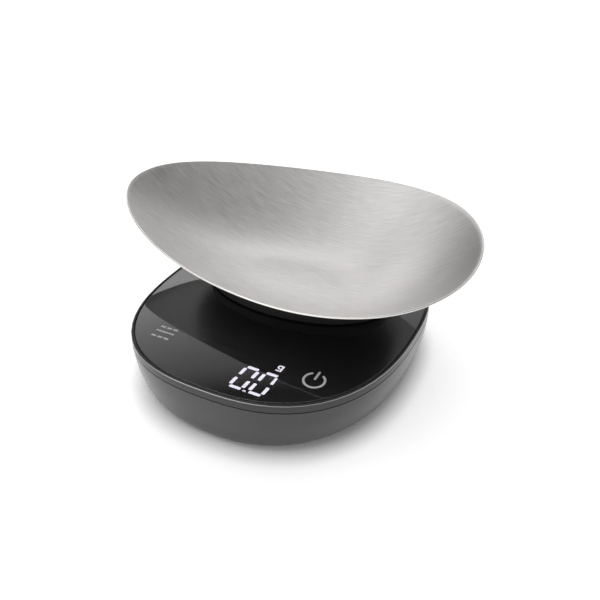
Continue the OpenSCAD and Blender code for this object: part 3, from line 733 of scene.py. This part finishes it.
@dataclass
class Base:
    """The housing, the glass on it and the feet under it."""

    outline: Outline = field(default_factory=Outline)
    # Housing: the seam between its halves, which gets painted shade, the rounding of the trim's
    # upper edge, and the trim's shoulder, which gets a painted highlight where a face's normal has
    # a Z between these two
    seam_bottom: float = 22.8
    seam_top: float = 23.2
    trim_round: float = 0.6
    shoulder: Pair = (0.3, 0.85)
    shell_crease: float = 32.0
    # Glass: its faces, the ground edge, the flat strip beside that edge, and the stem's passage
    glass_bottom: float = 24.5
    glass_top: float = 26.5
    arris: float = 0.25
    strip: float = 0.3
    hole_radius: float = 12.0
    hole_y: float = 12.0
    columns: int = 216
    glass_crease: float = 60.0
    # Feet: the sole's flat rim, and the slope and depth of the cup inside it
    foot_radius: float = 5.0
    foot_bottom: float = 0.0
    foot_top: float = 2.0
    foot_sides: int = 48
    foot_rim: float = 1.1
    cup_slope: float = 0.5
    cup_depth: float = 0.4
    foot_round: float = 0.35
    foot_crease: float = 40.0
    foot_places: tuple[Pair, ...] = ((-39.0, -28.0), (39.0, -28.0), (-34.75, 36.0), (34.75, 36.0))

    def shells(self) -> None:
        """Copy the housing's halves: painted shade in the seam and on the trim's top, a painted
        highlight on its shoulder.
        """
        low, high = self.shoulder

        def trim_finish(face: Face) -> int:
            """Number the finish of a face of the upper half.

            Args:
                face: the face.

            Returns:
                0 for the trim's polish, 1 for painted shade, 2 for the painted highlight on the
                shoulder.
            """
            if face.center.z < (self.seam_top + HAIR) * MM:
                return 1
            if face.center.z < (self.glass_top - self.trim_round) * MM:
                return 0
            return 1 if face.normal.z > high else 2 if face.normal.z > low else 0

        def shell_finish(face: Face) -> int:
            """Number the finish of a face of the lower half: 1, the painted shade, in the seam."""
            return int(face.center.z > (self.seam_bottom - HAIR) * MM)

        for node, name, polish, finish_of in (
                ("lower_housing", "housing_shell", HOUSING, shell_finish),
                ("upper_housing", "trim_and_deck", TRIM, trim_finish)):
            piece = copy_node(node, name, self.shell_crease)
            # Finish 1 is painted shade, finish 2 a painted highlight on the trim's shoulder
            dress(piece, polish, PAINTED_SHADE, PAINTED_HIGHLIGHT)
            for face in piece.data.polygons:
                face.material_index = finish_of(face)
            settle(piece, "base", "housing_plastic", node)

    def glass(self) -> None:
        """Make the glass plate: flat faces, ground edges and the passage for the stem."""
        top, low, edge = self.glass_top, self.glass_bottom, self.arris
        inside = -edge - self.strip
        # Whether the row lies on the passage, its height, and how far the outline is grown
        rows = [(False, low, inside), (False, low, -edge), (False, low + edge, 0.0),
                (False, top - edge, 0.0), (False, top, -edge), (False, top, inside),
                (True, top, 0.0), (True, low, 0.0), (False, low, inside)]

        def place(along: float, across: float) -> Point:
            """Sweep the plate's section round the outline.

            Args:
                along: share of the way round.
                across: share of the way through the rows.

            Returns:
                The point.
            """
            on_passage, z, grown = rows[round(across * (len(rows) - 1))]
            x, y = self.outline.point(along, grown)
            if on_passage:
                turn = math.atan2(y - self.hole_y, x)
                x = self.hole_radius * math.cos(turn)
                y = self.hole_y + self.hole_radius * math.sin(turn)
            return x, y, z

        piece = sheet_of(self.columns, len(rows) - 1, place)
        finish_mesh(piece, "glass_plate", self.glass_crease)
        dress(piece, GLASS)
        settle(piece, "base", "black_glass", "glass_top")

    def feet(self) -> None:
        """Make a rubber foot with a rounded rim and a cupped sole, and three copies of it."""
        height, middle = self.foot_top - self.foot_bottom, (self.foot_top + self.foot_bottom) / 2
        places = [Vector((x, y, middle)) * MM for x, y in self.foot_places]
        deselect_all()
        bpy.ops.mesh.primitive_cylinder_add(vertices=self.foot_sides, depth=height * MM,
                                            radius=self.foot_radius * MM, location=places[0])
        foot = bpy.context.object
        sink(foot, (self.foot_rim, 0.0), (self.cup_slope, self.cup_depth))
        apply_modifier(foot, "BEVEL", width=self.foot_round * MM, segments=3, angle_limit=SHARP)
        copies = []
        for place in places[1:]:
            take(foot)
            bpy.ops.object.duplicate()
            bpy.context.object.location = place
            copies.append(bpy.context.object)
        join(foot, *copies)
        finish_mesh(foot, "feet", self.foot_crease)
        dress(foot, RUBBER)
        settle(foot, "base", "foot_rubber", "rubber_feet")

    def build(self) -> None:
        """Build and dress the whole base."""
        self.shells()
        self.glass()
        self.feet()


@dataclass
class Platform:
    """The oval cap that the dish sits on, with its stem."""

    half_length: float = 44.0
    half_width: float = 25.0
    middle_y: float = 12.0
    bottom: float = 27.3
    top: float = 32.5
    wall: float = 1.8
    rounding: float = 1.0
    sides: int = 128
    stem_radius: float = 10.0
    stem_wall: float = 2.0
    stem_bottom: float = 20.3
    stem_end: float = 1.0
    stem_sides: int = 64
    crease: float = 35.0

    def cup(self) -> Object:
        """Make an oval cup, upside down, with a rounded upper edge.

        Returns:
            The cup.
        """
        deselect_all()
        place = Vector((0, self.middle_y, self.bottom)) * MM
        bpy.ops.mesh.primitive_circle_add(vertices=self.sides, radius=1, fill_type="NGON",
                                          location=place)
        cup = bpy.context.object
        cup.scale = (self.half_length * MM, self.half_width * MM, 1)
        bpy.ops.object.transform_apply(location=True, rotation=True, scale=True)
        lift = {"value": (0, 0, (self.top - self.bottom) * MM)}
        edit(cup, lambda: bpy.ops.mesh.extrude_region_move(TRANSFORM_OT_translate=lift),
             lambda: bpy.ops.mesh.select_all(action="SELECT"),
             lambda: bpy.ops.mesh.normals_make_consistent(inside=False))
        sink(cup, (self.wall, 0.0), (HAIR, self.top - self.wall - self.bottom))
        roof, points = self.top * MM - MERGE, cup.data.vertices
        pick(cup, "EDGE", lambda edge: all(points[end].co.z > roof for end in edge.vertices))
        work(lambda: bpy.ops.mesh.bevel(offset=self.rounding * MM, segments=5, affect="EDGES"))
        return cup

    def stem(self) -> Object:
        """Make the tube under the cap's roof.

        Returns:
            The stem.
        """
        roof = self.top - self.wall
        deselect_all()
        bpy.ops.mesh.primitive_cylinder_add(
            vertices=self.stem_sides, radius=self.stem_radius * MM,
            depth=(roof - self.stem_bottom) * MM,
            location=Vector((0, self.middle_y, (roof + self.stem_bottom) / 2)) * MM)
        stem = bpy.context.object
        sink(stem, (self.stem_wall, 0.0), (HAIR, roof - self.stem_bottom - self.stem_end))
        return stem

    def build(self) -> None:
        """Build and dress the cap with its stem."""
        cap = self.cup()
        join(cap, self.stem())
        finish_mesh(cap, "oval_cap", self.crease)
        dress(cap, CAP)
        settle(cap, "platform", "cap_plastic", "platform_cap")


@dataclass
class Dish:
    """The pressed steel dish: a flat oval foot, walls up to a waving rim, and a buffed edge."""

    half_length: float = 88.0
    half_width: float = 47.5
    foot_half_length: float = 21.0
    foot_half_width: float = 11.0
    # The rim's mean height, how far the back stands above the front, and how far the ends rise
    height: float = 21.5
    tilt: float = 10.3
    rise: float = 9.3
    # How far the rim's middle lies from the foot's, and how its sides and its ends swell
    offset: Pair = (-8.0, 7.5)
    swell: Pair = (-0.12, 0.25)
    rim_power: float = 2.1
    wall_power: float = 2.0
    sheet: float = 0.8
    edge_round: float = 0.22
    # How the dish is turned on its cap, and how the brushing is turned on the dish
    turn: float = -3.5
    brushing: float = 1.0
    seat: Point = (0.0, 12.0, 32.55)
    columns: int = 192
    foot_rows: int = 8
    wall_rows: int = 40
    crease: float = 50.0

    def rim(self, turn: float) -> Point:
        """Return a point of the rim from the foot's middle.

        Args:
            turn: share of a full turn.

        Returns:
            The point.
        """
        c, s = math.cos(2 * math.pi * turn), math.sin(2 * math.pi * turn)
        x = self.half_length * math.copysign(abs(c) ** (2 / self.rim_power), c)
        y = self.half_width * math.copysign(abs(s) ** (2 / self.rim_power), s)
        return (self.offset[0] + x * (1 + self.swell[0] * y / self.half_width),
                self.offset[1] + y * (1 + self.swell[1] * x / self.half_length),
                self.height + self.tilt * s + self.rise * c * c)

    def point(self, turn: float, out: float) -> Point:
        """Return a point of the dish's outside, from the foot's middle.

        Args:
            turn: share of a full turn.
            out: 0 at the foot's middle, 1 at the rim.

        Returns:
            The point.
        """
        edge = self.foot_rows / (self.foot_rows + self.wall_rows)
        foot_x = self.foot_half_length * math.cos(2 * math.pi * turn)
        foot_y = self.foot_half_width * math.sin(2 * math.pi * turn)
        if out <= edge:
            return foot_x * out / edge, foot_y * out / edge, 0.0
        up = (out - edge) / (1 - edge)
        rim_x, rim_y, rim_z = self.rim(turn)
        return (foot_x + (rim_x - foot_x) * up, foot_y + (rim_y - foot_y) * up,
                rim_z * up ** self.wall_power)

    def placed(self, turn: float, out: float) -> Point:
        """Return the same point where the dish sits on its cap.

        Args:
            turn: share of a full turn.
            out: 0 at the foot's middle, 1 at the rim.

        Returns:
            The point.
        """
        x, y, z = self.point(turn, out)
        c, s = math.cos(math.radians(self.turn)), math.sin(math.radians(self.turn))
        return self.seat[0] + x * c - y * s, self.seat[1] + x * s + y * c, self.seat[2] + z

    def map_sheet(self, obj: Object) -> None:
        """Map the mesh from above, in metres, with the line of the brushing along U.

        Args:
            obj: the dish's open surface, with the grid's own map of turn and share.
        """
        layer = obj.data.uv_layers.active
        layer.name = "sheet"
        c, s = math.cos(math.radians(self.brushing)), math.sin(math.radians(self.brushing))
        for loop in layer.data:
            x, y, _ = self.point(*loop.uv)
            loop.uv = ((x * c + y * s) * MM, (y * c - x * s) * MM)

    def build(self) -> None:
        """Press the sheet, give it its thickness and buff its edge."""
        dish = sheet_of(self.columns, self.foot_rows + self.wall_rows, self.placed)
        self.map_sheet(dish)
        edit(dish, lambda: bpy.ops.mesh.remove_doubles(threshold=MERGE),
             lambda: bpy.ops.mesh.normals_make_consistent(inside=False))
        # An open sheet has no inside, so its foot shows which way the normals went
        foot = min(dish.data.polygons, key=lambda face: face.center.z)
        if foot.normal.z > 0:
            edit(dish, lambda: bpy.ops.mesh.flip_normals())
        dress(dish, STEEL, RIM)
        apply_modifier(dish, "SOLIDIFY", thickness=self.sheet * MM, offset=-1,
                       use_even_offset=True, use_quality_normals=True, use_rim=True,
                       material_offset_rim=1)
        apply_modifier(dish, "BEVEL", width=self.edge_round * MM, segments=3, material=1,
                       angle_limit=SHARP)
        finish_mesh(dish, "pressed_dish", self.crease, outward=False)
        settle(dish, "dish", "dish_steel", "weighing_dish")


@dataclass
class LoadCell:
    """The aluminium bar that bends as the platform sinks, and the sealant over its gauges."""

    middle_y: float = 12.0
    half_bend: float = 7.0
    cuts: int = 8
    crease: float = 32.0

    def build(self) -> None:
        """Copy bar and sealant, and cut them across where the bar bends."""
        for node, name, finish, slot in (
                ("load_cell", "bending_bar", ALUMINIUM, "cell_aluminium"),
                ("gauge_sealant", "gauge_cover", SILICONE, "gauge_silicone")):
            piece = copy_node(node, name, self.crease)
            for cut in range(self.cuts + 1):
                place = (self.half_bend * (2 * cut / self.cuts - 1) * MM, 0, 0)
                edit(piece, lambda: bpy.ops.mesh.bisect(plane_co=place, plane_no=(1, 0, 0)))
            dress(piece, finish)
            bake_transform(piece)
            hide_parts(node)
            log.info("%s: %d faces, from base to platform, for %s", name,
                     len(piece.data.polygons), node)


class Lamp(Enum):
    """The studio's lamps: place, size, and power in watts."""

    OVERHEAD = ((-150.0, 100.0, 1200.0), (1200.0, 1200.0), 0.6)


@dataclass(frozen=True)
class Wall:
    """One side of the room: heights above the table in degrees, and how bright it is there."""

    heights: tuple[float, ...]
    levels: tuple[float, ...]


# A plain wall, and one with screens, whose heights stand close together where the glass mirrors it
PLAIN = (0, 22, 42, 62)
SCREENED = (0, 14, 24, 30, 35, 39, 41.5, 44.5, 50, 60, 74)

# The room's walls by azimuth, evenly round the object: 0 is behind it and -90 to its left
WALLS = {
    -180: Wall(PLAIN, (1.3, 1.2, 0.6, 0.0)),
    -135: Wall(PLAIN, (1.1, 1.45, 1.6, 0.8)),
    -90: Wall(PLAIN, (0.05, 0.05, 1.05, 0.4)),
    -45: Wall(SCREENED, (0.0, 0.0, 1.7, 2.6, 1.5, 0.85, 0.15, 0.3, 2.7, 2.1, 1.1)),
    0: Wall(SCREENED, (0.45, 0.6, 0.95, 1.05, 0.75, 0.5, 0.0, 0.1, 0.95, 1.0, 0.9)),
    45: Wall(PLAIN, (0.7, 0.7, 0.4, 0.15)),
    90: Wall(PLAIN, (0.85, 0.75, 0.45, 0.05)),
    135: Wall(PLAIN, (1.0, 0.8, 0.25, 0.0)),
}


@dataclass
class Studio:
    """A pale floor, a soft room and the camera."""

    azimuth: float = 26.409
    elevation: float = 32.643
    distance: float = 263.783
    target: Point = (5.917, 4.657, 26.5)
    lens: float = 34.715
    sensor: float = 36.0
    nearest: float = 10.0
    # The floor's width, how far it is lifted to white, how near the object that lift fades out,
    # and the shares of open sky between which it does
    floor_size: float = 12000.0
    glow: float = 0.54
    contact: float = 13.0
    open_sky: Pair = (0.35, 0.85)
    # How bright the room is straight above, and the brightness that a ramp's 1 stands for
    zenith: float = 0.25
    ramp_top: float = 3.0

    def floor(self) -> None:
        """Lay a white table that keeps the object's shadow."""
        deselect_all()
        bpy.ops.mesh.primitive_plane_add(size=self.floor_size * MM, location=(0, 0, 0))
        floor = bpy.context.object
        floor.name = "floor"
        material = bpy.data.materials.new("white_table")
        material.use_nodes = True
        tree = material.node_tree
        tree.nodes.clear()
        path = add_node(tree, "ShaderNodeLightPath")
        seen = path.outputs["Is Camera Ray"]
        for ray in ("Is Glossy Ray", "Is Transmission Ray"):
            seen = add_node(tree, "ShaderNodeMath", {"operation": "MAXIMUM"},
                            {0: seen, 1: path.outputs[ray]}).outputs[0]
        # The table's own lift fades out close under the object, for a short dark contact shadow
        sky = add_node(tree, "ShaderNodeAmbientOcclusion",
                       {"samples": 16, "Distance": self.contact * MM})
        fade = add_node(tree, "ShaderNodeMapRange",
                        {"From Min": self.open_sky[0], "From Max": self.open_sky[1],
                         "To Max": self.glow}, {"Value": sky.outputs["AO"]})
        lift = add_node(tree, "ShaderNodeMath", {"operation": "MULTIPLY"},
                        {0: seen, 1: fade.outputs[0]})
        matt = add_node(tree, "ShaderNodeBsdfDiffuse", {"Color": linear("#f4f4f4")})
        glow = add_node(tree, "ShaderNodeEmission", {"Color": linear("#ffffff")},
                        {"Strength": lift.outputs[0]})
        both = add_node(tree, "ShaderNodeAddShader", links={0: matt.outputs[0], 1: glow.outputs[0]})
        add_node(tree, "ShaderNodeOutputMaterial", links={"Surface": both.outputs[0]})
        floor.data.materials.append(material)

    def wall(self, tree: Tree, azimuth: int, turn: Socket, height: Socket) -> Socket:
        """Add one wall of the room, which fades out towards its neighbours.

        Args:
            tree: the room's node tree.
            azimuth: the wall's azimuth in WALLS.
            turn: the azimuth that is looked at, in radians.
            height: the sine of the elevation that is looked at.

        Returns:
            The wall's brightness, as a share of the ramp's top.
        """
        away = turn
        for step in ({"operation": "SUBTRACT", 1: math.radians(azimuth)},
                     {"operation": "WRAP", 1: math.pi, 2: -math.pi}, {"operation": "ABSOLUTE"}):
            away = add_node(tree, "ShaderNodeMath", step, {0: away}).outputs[0]
        share = add_node(tree, "ShaderNodeMapRange",
                         {"From Max": 2 * math.pi / len(WALLS), "To Min": 1.0, "To Max": 0.0},
                         {"Value": away})
        ramp = add_node(tree, "ShaderNodeValToRGB", links={"Fac": height})
        stops = ramp.color_ramp.elements
        wall = WALLS[azimuth]
        while len(stops) < len(wall.heights) + 1:
            stops.new(0.5)
        for stop, degrees, level in zip(stops, (*wall.heights, 90), (*wall.levels, self.zenith)):
            stop.position = math.sin(math.radians(degrees))
            stop.color = (*[level / self.ramp_top] * 3, 1.0)
        return add_node(tree, "ShaderNodeMath", {"operation": "MULTIPLY"},
                        {0: share.outputs[0], 1: ramp.outputs[0]}).outputs[0]

    def room(self) -> None:
        """Light a room from the left and behind, through tall screens, dimmer to the right."""
        world = bpy.data.worlds.new("room")
        bpy.context.scene.world = world
        world.use_nodes = True
        tree = world.node_tree
        tree.nodes.clear()
        way = add_node(tree, "ShaderNodeTexCoord").outputs["Generated"]
        part = add_node(tree, "ShaderNodeSeparateXYZ", links={0: way})
        turn = add_node(tree, "ShaderNodeMath", {"operation": "ARCTAN2"},
                        {0: part.outputs["X"], 1: part.outputs["Y"]}).outputs[0]
        walls = [self.wall(tree, azimuth, turn, part.outputs["Z"]) for azimuth in WALLS]
        total = walls[0]
        for wall in walls[1:]:
            total = add_node(tree, "ShaderNodeMath", {"operation": "ADD"},
                             {0: total, 1: wall}).outputs[0]
        total = add_node(tree, "ShaderNodeMath", {"operation": "MULTIPLY", 1: self.ramp_top},
                         {0: total}).outputs[0]
        white = {"Color": linear("#ffffff")}
        room = add_node(tree, "ShaderNodeBackground", white, {"Strength": total})
        plain = add_node(tree, "ShaderNodeBackground", {**white, "Strength": 1.0})
        path = add_node(tree, "ShaderNodeLightPath")
        mix = add_node(tree, "ShaderNodeMixShader", links={
            0: path.outputs["Is Camera Ray"], 1: room.outputs[0], 2: plain.outputs[0]})
        add_node(tree, "ShaderNodeOutputWorld", links={"Surface": mix.outputs[0]})

    def lamps(self) -> None:
        """Hang soft boxes that look at the object."""
        for lamp in Lamp:
            place, size, power = lamp.value
            deselect_all()
            bpy.ops.object.light_add(type="AREA", location=Vector(place) * MM)
            light = bpy.context.object
            light.name = f"lamp_{lamp.name.lower()}"
            light.rotation_euler = (-Vector(place)).to_track_quat("-Z", "Y").to_euler()
            light.data.shape = "RECTANGLE"
            light.data.size, light.data.size_y = (side * MM for side in size)
            light.data.energy = power

    def camera(self) -> None:
        """Put a camera at the photograph's angle."""
        azimuth, elevation = math.radians(self.azimuth), math.radians(self.elevation)
        back = Vector((math.sin(azimuth) * math.cos(elevation),
                       -math.cos(azimuth) * math.cos(elevation), math.sin(elevation)))
        deselect_all()
        bpy.ops.object.camera_add(location=(Vector(self.target) + back * self.distance) * MM,
                                  rotation=Euler((math.pi / 2 - elevation, 0, azimuth)))
        camera = bpy.context.object
        camera.data.lens = self.lens
        camera.data.sensor_width = self.sensor
        camera.data.clip_start = self.nearest * MM
        bpy.context.scene.camera = camera
        bpy.context.scene.view_settings.view_transform = "Standard"

    def build(self) -> None:
        """Set up floor, room, lamps and camera."""
        self.floor()
        self.room()
        self.lamps()
        self.camera()


def dress_carried(finishes: dict[str, Finish]) -> None:
    """Give the CAD nodes that stay their finishes.

    Args:
        finishes: the finish of each node.
    """
    for node, finish in finishes.items():
        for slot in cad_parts[node].material_slots:
            slot.material = finish.material()
        log.info("%s: carried over, in %s", node, finish.name)


def main() -> None:
    """Build every piece in order."""
    logging.basicConfig(level=logging.INFO, format="%(name)s: %(message)s")
    for part in (Studio(), Base(), Platform(), Dish(), LoadCell()):
        part.build()
    dress_carried(CARRIED)


if __name__ == "__main__":
    main()
